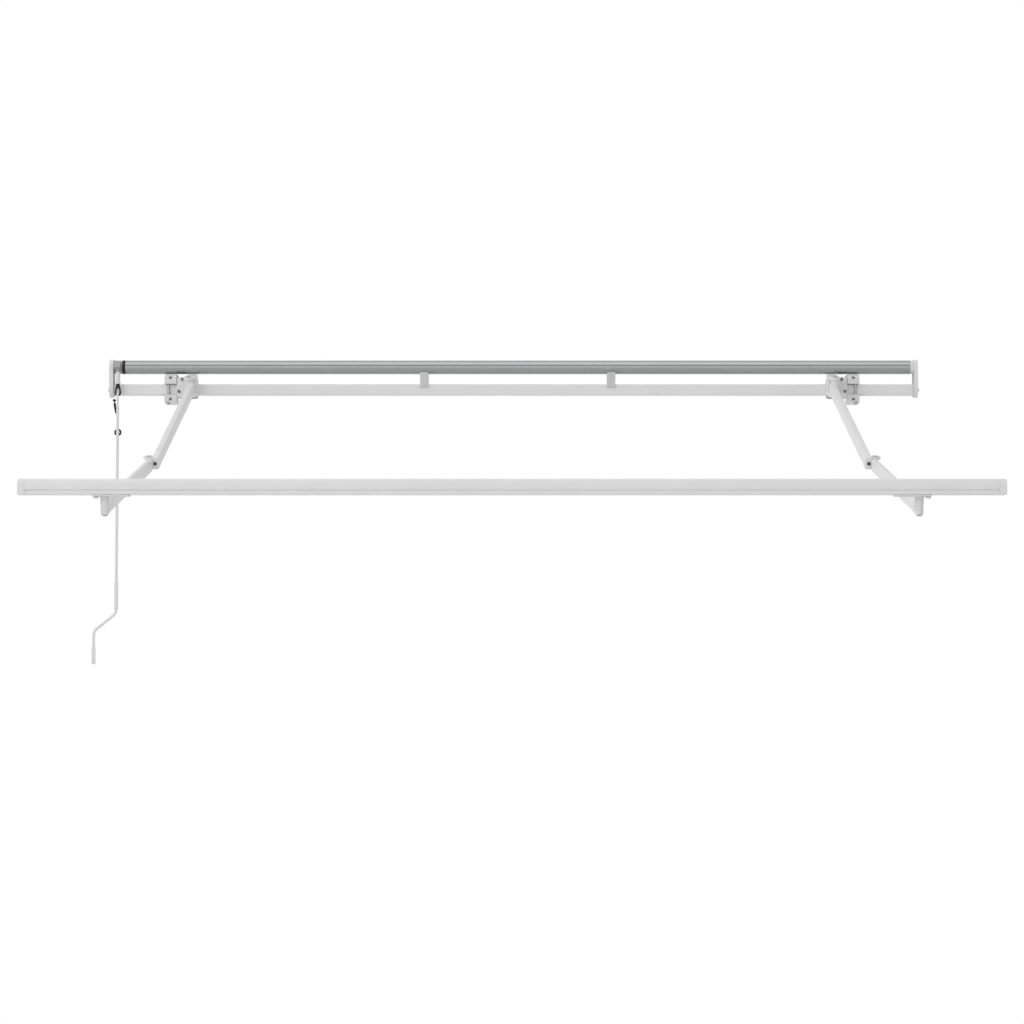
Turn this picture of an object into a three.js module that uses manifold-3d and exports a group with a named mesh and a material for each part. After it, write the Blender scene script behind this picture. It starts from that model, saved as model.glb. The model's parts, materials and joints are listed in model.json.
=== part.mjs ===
// Folding-arm awning frame, shown let out, without its cloth.
// Millimetres, +Z up. The wall is the plane y = 0 and the awning stands out from it along -Y.
// The origin lies in the wall plane, level with the torsion bar and midway between the arms.
import * as THREE from "three";
import { mergeVertices } from "three/addons/utils/BufferGeometryUtils.js";
import Module from "manifold-3d";

const wasm = await Module();
wasm.setup();

// Fits
const gap = 0.3;
const runningGap = 0.5;

// How far cutting bodies reach past a face, and joined bodies into each other
const past = 1;

// Steps in a quarter turn of a small corner and of a large arc, counted in half steps
const cornerDetail = 2;
const arcDetail = 4;

// Torsion bar and end plates
const barSide = 40;
const barWall = 2.5;
const barCorner = 4.5;
const barOut = 50;
const leftReach = 1485;
const rightReach = 1497;
const plateSkin = 5;
const plateRim = 15;
const plateWall = 4;
const plateBarRadius = 29;
const plateRollerRadius = 28;
const spigotLength = 32;
const endScrewRadius = 6;
const endScrewHead = 5;
const endScrewShank = 3;

// Roller
const rollerRadius = 25.5;
const rollerWall = 1.4;
const rollerOut = 55;
const rollerUp = 84.5;
const kederRadius = 3.6;
const kederWall = 1.3;
const kederMouth = 3;
const kederAngle = THREE.MathUtils.degToRad(12);
const plugFlange = 10.5;
const plugDepth = 36;
const driveShaftRadius = 8;
const driveShaftDepth = 12;
const axleRadius = 6;
const axleReach = 30;
const axleShoulderRadius = 10.8;
const idleFlange = 12;
const supportSpread = 345;
const supportWidth = 30;
const supportWall = 5;
const supportLip = 11;
const supportHorn = 6.4;
const supportFloor = 7;
const supportWindowCorner = 2.6;
const supportGap = 0.6;

// Handle length of a curve that makes a quarter circle, as a share of its radius
const roundPull = 0.5523;

// Winding gear and its eye
const gearWidth = 32;
const gearRadius = 25;
const gearSeatPlay = 0.8;
const gearNoseRadius = 12;
const gearNoseInset = 4;
const gearNoseRoot = 22;
const neckShift = 3;
const crankOut = 92;
const neckRadius = 8;
const neckBottom = 19;
const collarRadius = 9.5;
const collarHeight = 9;
const eyeShaftRadius = 4.6;
const eyeShaftDepth = 18;
const eyeWidth = 24;
const eyeDrop = 42;
const eyeWire = 6.6;

// Crank handle
const hookWire = 7.6;
const hookLeg = 44;
const hookBow = 26;
const hookTipSide = 6;
const hookTipDrop = 9;
const hookTipBack = 6.8;
const rodRadius = 5.4;
const rodLength = 758;
const throwSide = 81;
const throwDrop = 66;
const bendRadius = 14;
const bendSteps = 5;
const hookSocket = 11;
const handleLength = 116;
const sleeveRadius = 7.6;
const sleeveLength = 98;
const gripRadius = 7.8;
const gripLength = 62;
const gripCap = 5;
const gripEndRadius = 6.2;
const clipDrop = 92;
const clipRadius = 13.6;
const clipWire = 3.2;
const clipBridge = 4;
const latchHead = 5;
const latchSide = 13.5;
const latchNeck = 1.5;
const latchNeckLength = 3;
const latchBlade = 4;
const latchTip = 1.2;
const latchFoot = 25;

// Wall brackets
const bracketOffset = 1258;
const bracketWidth = 44;
const bracketTop = 56;
const bracketBottom = 50;
const bracketNose = 88;
const bracketRound = 15;
const wallHoleRadius = 4;
const wallHoleSink = 7.5;
const wallHoleSinkDepth = 6;
const wallHoleEdge = 13;
const clampBoltRadius = 4;
const clampBoltSide = 8;
const clampBoltDepth = 16;
const clampHeadRadius = 7;
const clampHeadHeight = 5;

// Shoulders
const pivotOffset = 1186;
const shoulderOut = 130;
const shoulderUp = 4;
const pitch = THREE.MathUtils.degToRad(15);
const knuckleRadius = 15.5;
const knuckleNeck = 14;
const knuckleHalf = 26;
const cheekRadius = 18.5;
const cheekThick = 9;
const cheekShift = 9;
const cheekRoot = 19;
const webGap = 4;
const saddleInner = 24;
const saddleOuter = 48.5;
const saddleThick = 13;
const saddleTop = 45;
const saddleBottom = 30;
const saddleLip = 8;
const saddleCorner = 9;
const backPlate = 7;
const shoulderPinRadius = 6;
const pinHeadRadius = 9;
const pinHeadFlat = 7.2;
const pinHeadHeight = 2;
const shoulderScrewRadius = 5.5;
const shoulderScrewHead = 4;
const shoulderScrewShank = 3.4;
const upperScrewSide = 28;
const upperScrewUp = 37;
const lowerScrewSide = 41;
const lowerScrewUp = -8;

// Arms
const armLength = 1130;
const armSag = 74;
const upperWidth = 24;
const upperHeight = 40;
const upperShift = 13;
const foreWidth = 19;
const foreHeight = 42;
const foreShift = 5;
const foreDrop = 8;
const armWall = 2;
const armCorner = 6;
const rootLength = 72;
const rootHalf = 17;
const rootBlock = 34;
const plugInArm = 48;
const springRadius = 7;
const springLength = 620;
const springCoils = 7;
const springBore = 4;
const springRib = 1.6;
const cableRadius = 2.2;
const cableBushRadius = 4.8;
const cableBushLength = 6;
const cableAnchor = 3;

// Elbows
const elbowShift = 10;
const earRadius = 18;
const earHalf = 19;
const earNeck = 18;
const tongueHalf = 10;
const tongueRadius = 11;
const forkNose = 22;
const forkLength = 78;
const elbowReach = 30;
const tongueLength = 66;
const elbowPinRadius = 5;

// Arm tips and front bar
const tipRadius = 12.5;
const tipHalf = 22;
const tipTop = 22;
const tipReach = 17;
const tipLength = 62;
const tipNeck = 10.5;
const tipNeckReach = 27;
const tipPinRadius = 5;
const tipNutRadius = 8;
const tipNutHeight = 5;
const tipPinGrip = 6;
const frontWidth = 2876;
const frontHeight = 47;
const frontDepth = 38;
const frontRise = 57;
const frontAhead = 12;
const frontCap = 21;
const frontCapPlug = 14;
const frontWall = 2;
const frontGroove = 9;
const frontLip = 6.6;
const frontStep = 3.4;
const frontRound = 15;
const frontEdge = 3;
const frontKederRadius = 3.4;
const frontKederMouth = 2.8;
const footLength = 110;
const footDepth = 34;
const footThick = 4;
const footShift = 20;
const footCorner = 6;
const footBossRadius = 13;
const footScrewRadius = 8.5;
const footScrewHead = 6;
const footScrewShank = 3.5;
const footScrewSide = 25;

// Values worked out from the driving dimensions
const barHalf = barSide / 2;
const barFront = barOut + barHalf;
const barBack = barOut - barHalf;
const rollerBore = rollerRadius - rollerWall;
const leftSeat = -leftReach + plateRim + gap;
const rightSeat = rightReach - plateRim - gap;
const crankSide = leftSeat + gearWidth / 2 + neckShift;
const rollerLeft = leftSeat + gearWidth + gap + plugFlange + gap;
const rollerRight = rightSeat - gap - idleFlange - gap;
const rollerMiddle = (rollerLeft + rollerRight) / 2;
const armSlope = Math.atan2(armSag, armLength);
const eyeWireHeight = neckBottom - gap - eyeDrop;
const elbowSide = upperShift + elbowShift;
const hookRadius = eyeWire / 2 + runningGap + hookWire / 2;
const rodTop = eyeWireHeight - hookLeg;
const armSpan = Math.hypot(armLength, armSag);
const tipOut = shoulderOut + 2 * armLength * Math.cos(pitch);
const tipUp = shoulderUp - 2 * armLength * Math.sin(pitch);
const saddleFront = barFront + gap + saddleThick;
const webStart = upperShift + upperWidth / 2 + webGap;
const clampOut = barFront + gap + clampBoltRadius + runningGap;
const frontUnder = frontRise - frontHeight / 2;

// Finishes
const finish = (color, roughness, metalness) =>
  new THREE.MeshStandardMaterial({ color, roughness, metalness });
const whiteCoat = finish(0xdadbdb, 0.42, 0.1);
const castWhite = finish(0xd4d5d5, 0.5, 0.1);
const galvanised = finish(0x9c9ea0, 0.38, 0.85);
const zinc = finish(0x8e9092, 0.35, 0.9);
const blackPlastic = finish(0x17181a, 0.45, 0);
const greyCasting = finish(0xa4a6a8, 0.5, 0.5);

// Solids: a closed mesh becomes a body that can be joined and cut
function solid(geometry) {
  const plain = geometry.clone();
  plain.deleteAttribute("normal");
  plain.deleteAttribute("uv");
  const merged = mergeVertices(plain, 1e-4);
  const vertProperties = new Float32Array(merged.attributes.position.array);
  const triVerts = new Uint32Array(merged.index.array);
  return new wasm.Manifold(new wasm.Mesh({ numProp: 3, vertProperties, triVerts }));
}

function geometryOf(body) {
  const mesh = body.getMesh();
  const geometry = new THREE.BufferGeometry();
  geometry.setAttribute("position", new THREE.BufferAttribute(new Float32Array(mesh.vertProperties), 3));
  geometry.setIndex(new THREE.BufferAttribute(new Uint32Array(mesh.triVerts), 1));
  geometry.computeVertexNormals();
  return geometry;
}

const join = (...pieces) => pieces.map(solid).reduce((whole, piece) => whole.add(piece));
const cut = (body, ...tools) => tools.map(solid).reduce((rest, tool) => rest.subtract(tool), body);

// Outlines
function roundedRectangle(width, height, corner) {
  const shape = new THREE.Shape();
  const w = width / 2;
  const h = height / 2;
  shape.moveTo(-w + corner, -h);
  shape.lineTo(w - corner, -h);
  shape.absarc(w - corner, -h + corner, corner, -Math.PI / 2, 0);
  shape.lineTo(w, h - corner);
  shape.absarc(w - corner, h - corner, corner, 0, Math.PI / 2);
  shape.lineTo(-w + corner, h);
  shape.absarc(-w + corner, h - corner, corner, Math.PI / 2, Math.PI);
  shape.lineTo(-w, -h + corner);
  shape.absarc(-w + corner, -h + corner, corner, Math.PI, 1.5 * Math.PI);
  return shape;
}

// Two circles wrapped by their outer tangents, as a strap around two pulleys
function wrappedCircles(ax, ay, ar, bx, by, br) {
  const along = Math.atan2(by - ay, bx - ax);
  const spread = Math.acos((ar - br) / Math.hypot(bx - ax, by - ay));
  const shape = new THREE.Shape();
  shape.absarc(ax, ay, ar, along + spread, along - spread + 2 * Math.PI);
  shape.absarc(bx, by, br, along - spread, along + spread);
  shape.closePath();
  return shape;
}

function tubeSection(width, height, corner, wall) {
  const shape = roundedRectangle(width, height, corner);
  shape.holes.push(roundedRectangle(width - 2 * wall, height - 2 * wall, corner - wall));
  return shape;
}

// Extrusions along each axis: an outline in (y, z) along X, in (x, z) towards -Y, in (x, y) along Z
const axisX = new THREE.Vector3(1, 0, 0);
const axisY = new THREE.Vector3(0, 1, 0);
const axisZ = new THREE.Vector3(0, 0, 1);
const toX = new THREE.Matrix4().makeBasis(axisY, axisZ, axisX);
const toFront = new THREE.Matrix4().makeBasis(axisX, axisZ, axisY.clone().negate());

function extrude(shape, depth, curveSegments = 6) {
  return new THREE.ExtrudeGeometry(shape, { depth, bevelEnabled: false, curveSegments });
}

const alongX = (shape, from, to, detail) =>
  extrude(shape, to - from, detail).applyMatrix4(toX).translate(from, 0, 0);
const alongFront = (shape, from, to, detail) =>
  extrude(shape, to - from, detail).applyMatrix4(toFront).translate(0, -from, 0);
const alongZ = (shape, from, to, detail) => extrude(shape, to - from, detail).translate(0, 0, from);

function box(x0, x1, y0, y1, z0, z1) {
  return new THREE.BoxGeometry(x1 - x0, y1 - y0, z1 - z0)
    .translate((x0 + x1) / 2, (y0 + y1) / 2, (z0 + z1) / 2);
}

const upright = (radius, from, to, sides) => new THREE.CylinderGeometry(radius, radius, to - from, sides);
const rodZ = (radius, from, to, sides = 12) =>
  upright(radius, from, to, sides).rotateX(Math.PI / 2).translate(0, 0, (from + to) / 2);
const rodX = (radius, from, to, sides = 32) =>
  upright(radius, from, to, sides).rotateZ(Math.PI / 2).translate((from + to) / 2, 0, 0);
const rodFront = (radius, from, to, sides = 12) =>
  upright(radius, from, to, sides).translate(0, -(from + to) / 2, 0);

// A profile of (radius, height) points turned about Z; it starts and ends on the axis or closes on itself
function turned(points, sides = 12) {
  return new THREE.LatheGeometry(points.map(([r, z]) => new THREE.Vector2(r, z)), sides).rotateX(Math.PI / 2);
}

const ring = (inner, outer, from, to, sides) =>
  turned([[inner, from], [outer, from], [outer, to], [inner, to], [inner, from]], sides);

// A round bar along a path
function wire(path, radius, steps, sides = 10) {
  const section = new THREE.Shape(
    Array.from({ length: sides }, (unused, i) => {
      const turn = (2 * Math.PI * i) / sides;
      return new THREE.Vector2(radius * Math.cos(turn), radius * Math.sin(turn));
    }),
  );
  return new THREE.ExtrudeGeometry(section, { steps, bevelEnabled: false, extrudePath: path });
}

const awning = new THREE.Group();

function place(parent, name, geometry, material) {
  const mesh = new THREE.Mesh(geometry, material);
  mesh.name = name;
  parent.add(mesh);
  return mesh;
}

function groupAt(parent, x, y, z) {
  const group = new THREE.Group();
  group.position.set(x, y, z);
  parent.add(group);
  return group;
}

// Torsion bar: a square tube from end plate to end plate
place(
  awning,
  "torsion_bar",
  alongX(tubeSection(barSide, barSide, barCorner, barWall), leftSeat, rightSeat, cornerDetail)
    .translate(0, -barOut, 0),
  whiteCoat,
);

// End plate: a shallow tray whose rim meets the bar, with a square spigot inside the bar and a screw hole
function endPlate(withAxle) {
  const outer = wrappedCircles(-barOut, 0, plateBarRadius, -rollerOut, rollerUp, plateRollerRadius);
  const inner = wrappedCircles(
    -barOut, 0, plateBarRadius - plateWall, -rollerOut, rollerUp, plateRollerRadius - plateWall,
  );
  const spigotSide = barSide - 2 * barWall - 2 * gap;
  const spigot = roundedRectangle(spigotSide, spigotSide, barCorner - barWall);
  const blank = solid(alongX(outer, 0, plateRim, arcDetail));
  const tray = cut(blank, alongX(inner, plateSkin, plateRim + gap, arcDetail));
  const plug = alongX(spigot, plateSkin / 2, plateRim + spigotLength, cornerDetail).translate(0, -barOut, 0);
  let body = tray.add(solid(plug));
  if (withAxle) {
    const axle = rodX(axleRadius, plateSkin / 2, plateRim + axleReach, 14);
    const shoulder = rodX(axleShoulderRadius, plateSkin / 2, plateRim, 24);
    body = [axle, shoulder].reduce(
      (whole, piece) => whole.add(solid(piece.translate(0, -rollerOut, rollerUp))), body,
    );
  }
  const screwHole = rodX(endScrewShank + gap, -gap, plateRim + spigotLength + gap, 12)
    .translate(0, -barOut, 0);
  return geometryOf(cut(body, screwHole));
}

function endScrew() {
  const head = rodX(endScrewRadius, -endScrewHead - gap, -gap, 6);
  const shank = rodX(endScrewShank, -gap - endScrewHead / 2, plateRim + spigotLength - endScrewHead, 12);
  return geometryOf(join(head, shank)).translate(0, -barOut, 0);
}

const leftEnd = groupAt(awning, -leftReach, 0, 0);
const rightEnd = groupAt(awning, rightReach, 0, 0);
rightEnd.scale.x = -1;
place(leftEnd, "left_end_plate", endPlate(false), whiteCoat);
place(leftEnd, "left_end_screw", endScrew(), blackPlastic);
place(rightEnd, "right_end_plate", endPlate(true), whiteCoat);
place(rightEnd, "right_end_screw", endScrew(), blackPlastic);

// Winding gear: a barrel on the roller's axis, seated in the left end plate, with a nose and the eye's neck
function gearHousing() {
  const from = leftSeat;
  const to = leftSeat + gearWidth;
  const nose = wrappedCircles(-rollerOut, rollerUp, gearNoseRoot, -crankOut, rollerUp, gearNoseRadius);
  const barrel = rodX(gearRadius, from, to, 24).translate(0, -rollerOut, rollerUp);
  const seat = rodX(plateRollerRadius - plateWall - gearSeatPlay, from - plateRim + plateSkin, from + past, 24)
    .translate(0, -rollerOut, rollerUp);
  const neck = rodZ(neckRadius, neckBottom, rollerUp).translate(crankSide, -crankOut, 0);
  const collar = rodZ(collarRadius, neckBottom, neckBottom + collarHeight).translate(crankSide, -crankOut, 0);
  const noseBlock = alongX(nose, from + gearNoseInset, to - gearNoseInset, arcDetail);
  const shaftHole = rodX(driveShaftRadius + gap, to - driveShaftDepth, to + gap, 14)
    .translate(0, -rollerOut, rollerUp);
  const eyeHole = rodZ(eyeShaftRadius + gap, neckBottom - gap, neckBottom + eyeShaftDepth + gap)
    .translate(crankSide, -crankOut, 0);
  return geometryOf(cut(join(barrel, seat, noseBlock, neck, collar), shaftHole, eyeHole));
}

place(awning, "gear_housing", gearHousing(), greyCasting);

// Roller: a rolled steel tube with a keyhole groove for the cloth's cord, and a plug in each end
const roller = groupAt(awning, 0, -rollerOut, rollerUp);

function rollerTube() {
  const channelCentre = rollerRadius - kederRadius - kederWall;
  const turnUp = (geometry) => geometry.rotateX(-kederAngle);
  const shell = cut(
    solid(rodX(rollerRadius, rollerLeft, rollerRight, 44)),
    rodX(rollerBore, rollerLeft - gap, rollerRight + gap, 44),
  );
  const channelAt = (geometry) => geometry.translate(0, -channelCentre, 0);
  const channelWall = channelAt(rodX(kederRadius + kederWall, rollerLeft, rollerRight, 14));
  const channel = channelAt(rodX(kederRadius, rollerLeft - gap, rollerRight + gap, 14));
  const mouth = box(
    rollerLeft - gap, rollerRight + gap,
    -rollerRadius - past, -channelCentre,
    -kederMouth / 2, kederMouth / 2,
  );
  return geometryOf(cut(shell.add(solid(turnUp(channelWall))), turnUp(channel), turnUp(mouth)));
}

// A plug fits the tube beside the cord channel, so its spigot is a circle with that side cut flat
function plugSpigot(from, to) {
  const flat = rollerRadius - 2 * kederRadius - 2 * kederWall - gap;
  const core = solid(rodX(rollerBore - gap, from, to, 24));
  const side = box(from - past, to + past, -rollerRadius, -flat, -rollerRadius, rollerRadius);
  return cut(core, side.rotateX(-kederAngle));
}

function drivePlug() {
  const flangeFrom = rollerLeft - gap - plugFlange;
  const flange = solid(rodX(rollerRadius, flangeFrom, rollerLeft - gap, 24));
  const shaft = solid(rodX(driveShaftRadius, flangeFrom - driveShaftDepth, flangeFrom + past, 14));
  return geometryOf(plugSpigot(rollerLeft - gap - past, rollerLeft + plugDepth).add(flange).add(shaft));
}

function idlePlug() {
  const flangeTo = rollerRight + gap + idleFlange;
  const flange = solid(rodX(rollerRadius, rollerRight + gap, flangeTo, 24));
  const bore = rodX(axleRadius + gap, rollerRight - plugDepth - past, flangeTo + gap, 14);
  return geometryOf(cut(plugSpigot(rollerRight - plugDepth, rollerRight + gap + past).add(flange), bore));
}

place(roller, "roller_tube", rollerTube(), galvanised);
place(roller, "roller_drive_plug", drivePlug(), blackPlastic);
place(roller, "roller_idle_plug", idlePlug(), castWhite);

// Roller support: a clip over the bar whose top is hollowed to the roller's curve
function rollerSupport() {
  const front = barFront + gap + supportWall;
  const back = barBack - gap - supportWall;
  const top = rollerUp - rollerRadius + supportHorn;
  const bottom = barHalf - supportLip;
  const half = supportWidth / 2;
  const block = box(-half, half, -front, -back, bottom, top);
  const barSpace = box(-half - past, half + past, -barFront - gap, -barBack + gap, -barHalf, barHalf + gap);
  const rollerSpace = rodX(rollerRadius + supportGap, -half - past, half + past)
    .translate(0, -rollerOut, rollerUp);
  const windowHeight = rollerUp - rollerRadius - barHalf - 3 * supportWall;
  const windowOutline = roundedRectangle((front - back) / 2, windowHeight, supportWindowCorner);
  const window = alongX(windowOutline, -half - past, half + past, arcDetail)
    .translate(0, -barOut, barHalf + supportFloor + windowHeight / 2);
  return geometryOf(cut(solid(block), barSpace, rollerSpace, window));
}

for (const [side, sign] of [["left", -1], ["right", 1]]) {
  const seat = groupAt(awning, rollerMiddle + sign * supportSpread, 0, 0);
  place(seat, `${side}_roller_support`, rollerSupport(), castWhite);
}

// Eye: a pear-shaped ring of round wire on a short shaft that turns in the gear's neck
const crank = groupAt(awning, crankSide, -crankOut, 0);

function gearEye() {
  const reach = eyeWidth / 2 - eyeWire / 2;
  const top = neckBottom - gap;
  const low = eyeWireHeight + reach;
  const start = (eyeWire + gap) / 2;
  const round = reach * roundPull;
  const shoulder = low + (top - low) / 2;
  const at = (x, z) => new THREE.Vector3(x, 0, z);
  const loop = new THREE.CurvePath();
  loop.add(new THREE.CubicBezierCurve3(
    at(start, top), at(start, shoulder), at(reach, shoulder), at(reach, low),
  ));
  loop.add(new THREE.CubicBezierCurve3(
    at(reach, low), at(reach, low - round), at(round, eyeWireHeight), at(0, eyeWireHeight),
  ));
  loop.add(new THREE.CubicBezierCurve3(
    at(0, eyeWireHeight), at(-round, eyeWireHeight), at(-reach, low - round), at(-reach, low),
  ));
  loop.add(new THREE.CubicBezierCurve3(
    at(-reach, low), at(-reach, shoulder), at(-start, shoulder), at(-start, top),
  ));
  const shaft = rodZ(eyeShaftRadius, top - eyeWire, neckBottom + eyeShaftDepth);
  return geometryOf(join(wire(loop, eyeWire / 2, 28, 8), shaft));
}

place(crank, "gear_eye", gearEye(), blackPlastic);

// Crank handle: a hook over the eye's wire, a long rod, an offset and a turning grip
function crankHook() {
  const at = (x, y, z) => new THREE.Vector3(x, y, eyeWireHeight + z);
  const path = new THREE.CurvePath();
  const r = hookRadius;
  const k = r * roundPull;
  path.add(new THREE.CubicBezierCurve3(
    at(0, 0, -hookLeg), at(0, 0, -hookBow), at(0, -r, -hookBow), at(0, -r, 0),
  ));
  path.add(new THREE.CubicBezierCurve3(at(0, -r, 0), at(0, -r, k), at(0, -k, r), at(0, 0, r)));
  path.add(new THREE.CubicBezierCurve3(at(0, 0, r), at(0, k, r), at(0, r, k), at(0, r, 0)));
  path.add(new THREE.CubicBezierCurve3(
    at(0, r, 0), at(0, r, -k),
    at(-hookTipSide / 2, r, -hookTipDrop), at(-hookTipSide, hookTipBack, -hookTipDrop),
  ));
  const root = rodZ(hookWire / 2, rodTop - hookSocket + gap, rodTop + past, 8);
  return geometryOf(join(wire(path, hookWire / 2, 24, 8), root));
}

// The latch closes the hook: a round head by the hook's tip on a tapered blade that lies against the rod
function hookLatch() {
  const tipDrop = hookTipDrop + hookWire / 2 + latchHead + gap;
  const head = new THREE.Vector3(-latchSide, hookTipBack, eyeWireHeight - tipDrop);
  const foot = new THREE.Vector3(-rodRadius - latchTip - gap, 0, rodTop - latchFoot);
  const run = foot.clone().sub(head);
  const length = run.length();
  const bladeTop = latchHead + latchNeckLength;
  const blade = turned([
    [0, 0],
    [latchNeck, 0],
    [latchNeck, bladeTop],
    [latchBlade, bladeTop + latchBlade],
    [latchBlade, length / 2],
    [latchTip, length],
    [0, length],
  ], 10);
  blade.applyQuaternion(new THREE.Quaternion().setFromUnitVectors(axisZ, run.normalize()));
  const ball = new THREE.SphereGeometry(latchHead, 12, 8);
  return geometryOf(join(blade, ball)).translate(head.x, head.y, head.z);
}

// A route through given points, with one step for each stretch between them
class BentRoute extends THREE.Curve {
  constructor(points) {
    super();
    this.points = points;
  }

  getPoint(t) {
    const place = Math.min(Math.max(t, 0), 1) * (this.points.length - 1);
    const index = Math.min(Math.floor(place), this.points.length - 2);
    return this.points[index].clone().lerp(this.points[index + 1], place - index);
  }

  getPointAt(t) {
    return this.getPoint(t);
  }

  getTangentAt(t) {
    return this.getTangent(t);
  }

  getSpacedPoints(steps) {
    return this.getPoints(steps);
  }
}

function crankRod() {
  const at = (x, z) => new THREE.Vector3(x, 0, z);
  const bendTop = rodTop - rodLength;
  const bendLow = bendTop - throwDrop;
  const slant = at(-throwSide, -throwDrop).normalize().multiplyScalar(bendRadius);
  const upper = at(0, bendTop);
  const lower = at(-throwSide, bendLow);
  const upperBend = new THREE.QuadraticBezierCurve3(
    at(0, bendTop + bendRadius), upper, upper.clone().add(slant),
  );
  const lowerBend = new THREE.QuadraticBezierCurve3(
    lower.clone().sub(slant), lower, at(-throwSide, bendLow - bendRadius),
  );
  const points = [
    at(0, rodTop),
    ...upperBend.getPoints(bendSteps),
    ...lowerBend.getPoints(bendSteps),
    at(-throwSide, bendLow - handleLength),
  ];
  const bar = wire(new BentRoute(points), rodRadius, points.length - 1, 12);
  const socket = rodZ(hookWire / 2 + gap, rodTop - hookSocket, rodTop + past, 12);
  return geometryOf(cut(solid(bar), socket));
}

// The clip is a ring behind the rod, with a bridge across it that seats on the rod
function rodClip() {
  const seat = rodRadius + gap;
  const reach = clipRadius - clipWire;
  const hoop = new THREE.TorusGeometry(reach, clipWire, 8, 20).rotateX(Math.PI / 2)
    .translate(0, seat + clipWire, 0);
  const bridge = box(-rodRadius, rodRadius, seat, seat + clipBridge, -reach, reach);
  return geometryOf(join(hoop, bridge)).translate(0, 0, rodTop - clipDrop);
}

const sleeveTop = rodTop - rodLength + bendRadius + sleeveLength + gap;
const handleEnd = rodTop - rodLength - throwDrop - handleLength;
place(crank, "crank_hook", crankHook(), whiteCoat);
place(crank, "hook_latch", hookLatch(), blackPlastic);
place(crank, "crank_rod", crankRod(), whiteCoat);
place(crank, "rod_clip", rodClip(), blackPlastic);
const sleeve = ring(rodRadius + gap, sleeveRadius, sleeveTop - sleeveLength, sleeveTop, 14);
place(crank, "upper_grip", sleeve, whiteCoat);
place(
  groupAt(crank, -throwSide, 0, handleEnd),
  "lower_grip",
  turned([
    [0, -gap - gripCap],
    [gripEndRadius, -gap - gripCap],
    [gripRadius, -gap],
    [gripRadius, gripLength - gripCap],
    [rodRadius + gap, gripLength - gripCap],
    [rodRadius + gap, -gap],
    [0, -gap],
  ], 14),
  whiteCoat,
);

// Wall bracket: a C-shaped casting open at the front, held shut by an upright bolt in front of the bar
function wallBracket() {
  const half = bracketWidth / 2;
  const nose = bracketNose;
  const side = new THREE.Shape();
  side.moveTo(0, -bracketBottom);
  side.lineTo(0, bracketTop);
  side.lineTo(-nose + bracketRound, bracketTop);
  side.absarc(-nose + bracketRound, bracketTop - bracketRound, bracketRound, Math.PI / 2, Math.PI);
  side.lineTo(-nose, barHalf + gap);
  side.lineTo(-barBack + gap, barHalf + gap);
  side.lineTo(-barBack + gap, -barHalf - gap);
  side.lineTo(-nose, -barHalf - gap);
  side.absarc(-nose + bracketRound, -bracketBottom + bracketRound, bracketRound, Math.PI, 1.5 * Math.PI);
  side.closePath();
  const wallHole = (z) => [
    rodFront(wallHoleRadius, -past, nose + past).translate(0, 0, z),
    rodFront(wallHoleSink, nose - wallHoleSinkDepth, nose + past, 14).translate(0, 0, z),
  ];
  const boltEnd = barHalf + gap + clampBoltDepth + gap;
  const boltBore = rodZ(clampBoltRadius + gap, -bracketBottom - past, boltEnd, 16)
    .translate(-clampBoltSide, -clampOut, 0);
  const holes = [...wallHole(bracketTop - wallHoleEdge), ...wallHole(-bracketBottom + wallHoleEdge)];
  return geometryOf(cut(solid(alongX(side, -half, half, arcDetail)), ...holes, boltBore));
}

function clampBolt() {
  const head = rodZ(clampHeadRadius, -bracketBottom - gap - clampHeadHeight, -bracketBottom - gap, 6);
  const shank = rodZ(clampBoltRadius, -bracketBottom - gap - past, barHalf + clampBoltDepth, 16);
  return geometryOf(join(head, shank)).translate(-clampBoltSide, -clampOut, 0);
}

// Shoulder: a saddle on the bar, and two cheeks that hold the arm's knuckle in the pitched plane
const cheekTop = knuckleHalf + runningGap + cheekThick;

function inPitch(geometry) {
  return geometry.rotateX(pitch).translate(0, -shoulderOut, shoulderUp);
}

const shoulderScrews = [
  { name: "upper", side: -upperScrewSide, up: upperScrewUp, reach: barBack - gap - backPlate / 2 },
  { name: "lower", side: -lowerScrewSide, up: lowerScrewUp, reach: barFront + gap },
];

function shoulderBody() {
  const saddleOutline = roundedRectangle(saddleInner + saddleOuter, saddleTop + saddleBottom, saddleCorner);
  const saddle = alongFront(saddleOutline, barFront + gap, saddleFront, cornerDetail)
    .translate((saddleInner - saddleOuter) / 2, 0, (saddleTop - saddleBottom) / 2);
  const hood = box(
    -saddleOuter + saddleCorner, saddleInner - saddleCorner,
    -saddleFront + saddleThick / 2, -barBack,
    barHalf + gap, barHalf + gap + saddleLip,
  );
  const reach = shoulderOut - saddleFront + saddleThick / 2;
  const cheekOutline = wrappedCircles(0, 0, cheekRadius, cheekShift, reach, cheekRoot);
  const cheeks = solid(alongZ(cheekOutline, -cheekTop, cheekTop, arcDetail));
  const armSpace = knuckleHalf + runningGap;
  const swing = box(-armLength, armLength, -armLength, webStart, -armSpace, armSpace);
  const pinBore = rodZ(shoulderPinRadius + gap, -cheekTop - past, cheekTop + past);
  const fork = solid(inPitch(geometryOf(cut(cheeks, swing, pinBore))));
  const behind = box(-armLength, armLength, -barFront - gap, barOut, -armLength, armLength);
  const screwBores = shoulderScrews.map(({ side, up }) =>
    rodFront(shoulderScrewShank + gap, barFront - gap, saddleFront + cheekTop).translate(side, 0, up));
  return geometryOf(cut(cut(fork, behind).add(solid(saddle)).add(solid(hood)), ...screwBores));
}

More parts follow.
